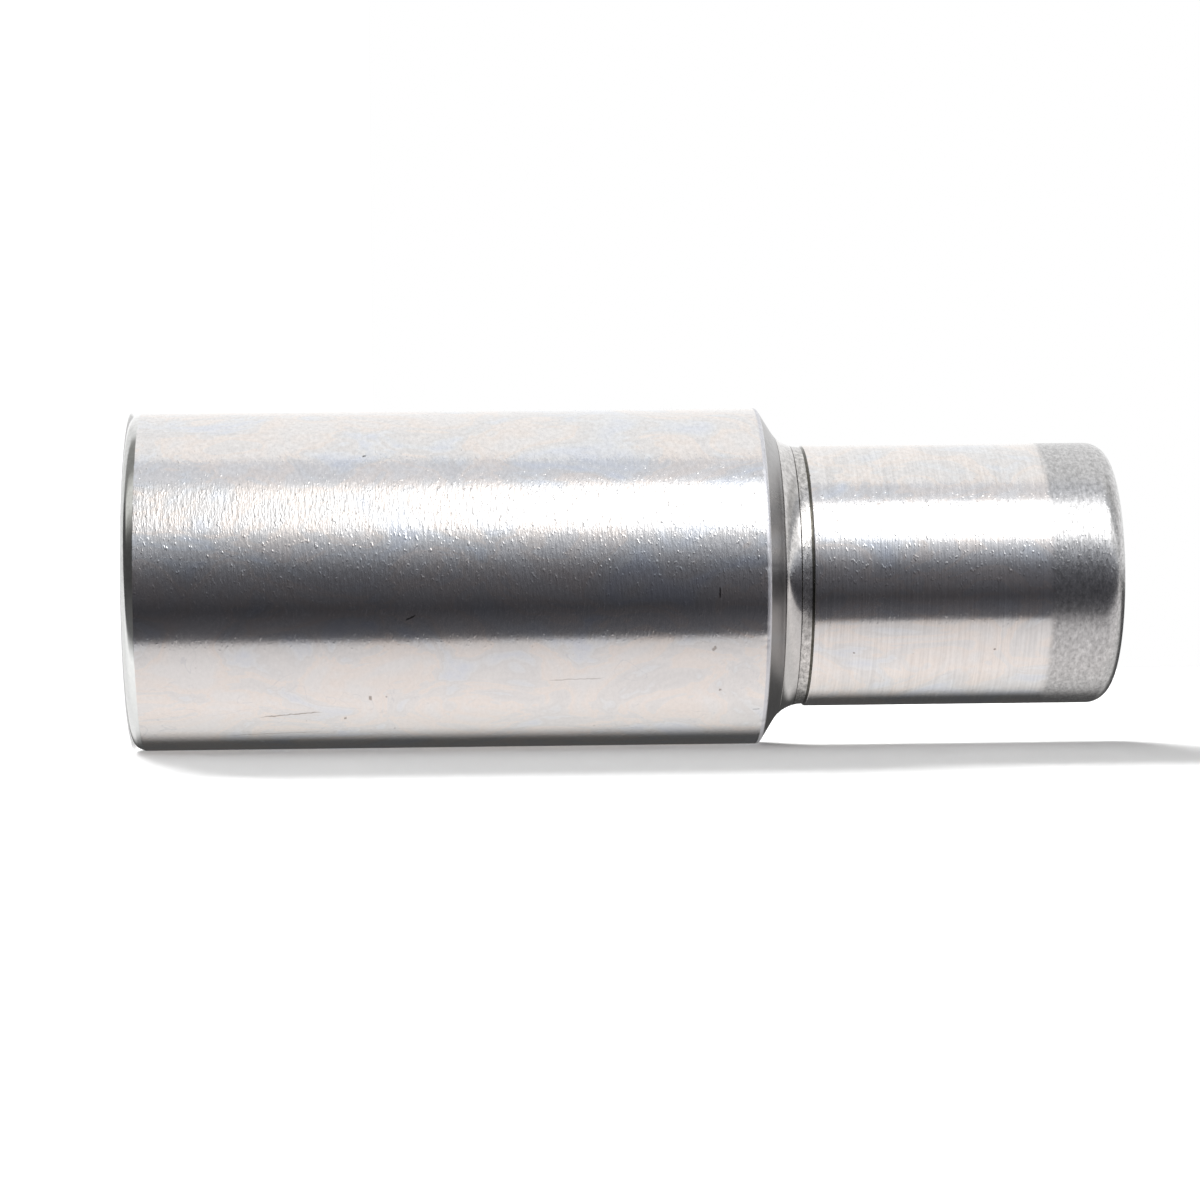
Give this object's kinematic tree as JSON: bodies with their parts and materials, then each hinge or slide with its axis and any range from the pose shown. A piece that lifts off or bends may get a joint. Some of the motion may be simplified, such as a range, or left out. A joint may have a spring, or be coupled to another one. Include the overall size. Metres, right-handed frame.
{
  "type": "stepped shaft",
  "caption": "Solid steel shaft with a large ground diameter, a radiused shoulder with a shallow relief, and a smaller ground journal with a rounded end.",
  "frame": {"origin": "centre of the flat end face of the large diameter, which the shaft stands on", "axes": "+Z along the shaft's axis, from the large end face to the small journal's end; +X and +Y are any two square radial directions, because the shaft is round"},
  "size_m": [0.0286, 0.0286, 0.0829],
  "materials": {
    "ground_steel": "cylindrically ground steel, with a turned shoulder and a matt band at the journal's end"
  },
  "bodies": {
    "root": {"stepped_shaft": "ground_steel"}
  },
  "joints": []
}
